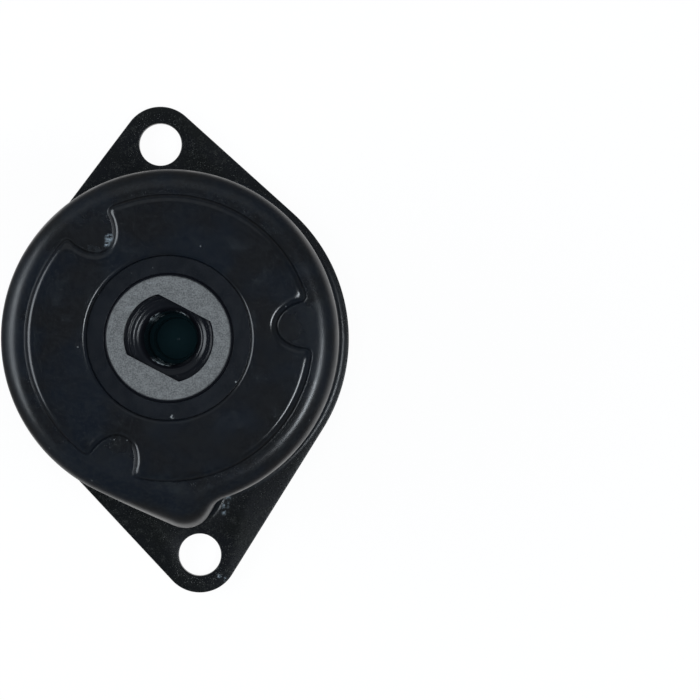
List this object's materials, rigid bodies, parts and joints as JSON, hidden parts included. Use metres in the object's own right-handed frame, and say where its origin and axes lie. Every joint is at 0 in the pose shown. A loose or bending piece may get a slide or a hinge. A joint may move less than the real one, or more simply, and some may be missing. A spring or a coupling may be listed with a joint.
{
  "type": "drive belt tensioner spring unit",
  "caption": "Drawn steel can with a diamond mounting flange that holds a torsion spring; its sprung hub has a double-D socket for the pulley arm.",
  "frame": {"origin": "midpoint of the two mounting holes, on the flange's back face", "axes": "+Z from the flange's back to the hub's front face, +Y from the hole at the bulge to the other mounting hole; the hub axis is parallel to Z through y = 2.7 mm"},
  "size_m": [0.0844, 0.1212, 0.052],
  "materials": {
    "black_paint": "gloss black paint over drawn steel, matte on the flange",
    "black_nylon": "satin black moulded nylon",
    "pale_nylon": "natural moulded nylon",
    "bare_steel": "matt grey machined steel",
    "plated_steel": "zinc-plated pressed steel",
    "spring_steel": "dark oil-tempered spring steel",
    "rubber": "black seal rubber"
  },
  "bodies": {
    "housing": {"housing": "black_paint", "front_bush": "black_nylon", "spring_seat": "pale_nylon", "torsion_spring": "spring_steel", "rear_cover": "plated_steel", "rear_bush": "black_nylon", "stop_pin": "bare_steel"},
    "hub": {"hub": "bare_steel", "hub_seal": "rubber", "damping_ring": "pale_nylon", "spring_carrier": "plated_steel", "stop_plate": "plated_steel", "thrust_washer": "plated_steel", "retaining_ring": "spring_steel"}
  },
  "joints": [
    {"name": "hub_turn", "type": "hinge", "parent": "housing", "child": "hub", "pos_m": [0, 0.0027, 0], "axis": [0, 0, 1], "range_deg": [0, 65], "stiffness_Nm_per_rad": 20, "springref_deg": -34.38, "deforming": ["torsion_spring"]}
  ]
}
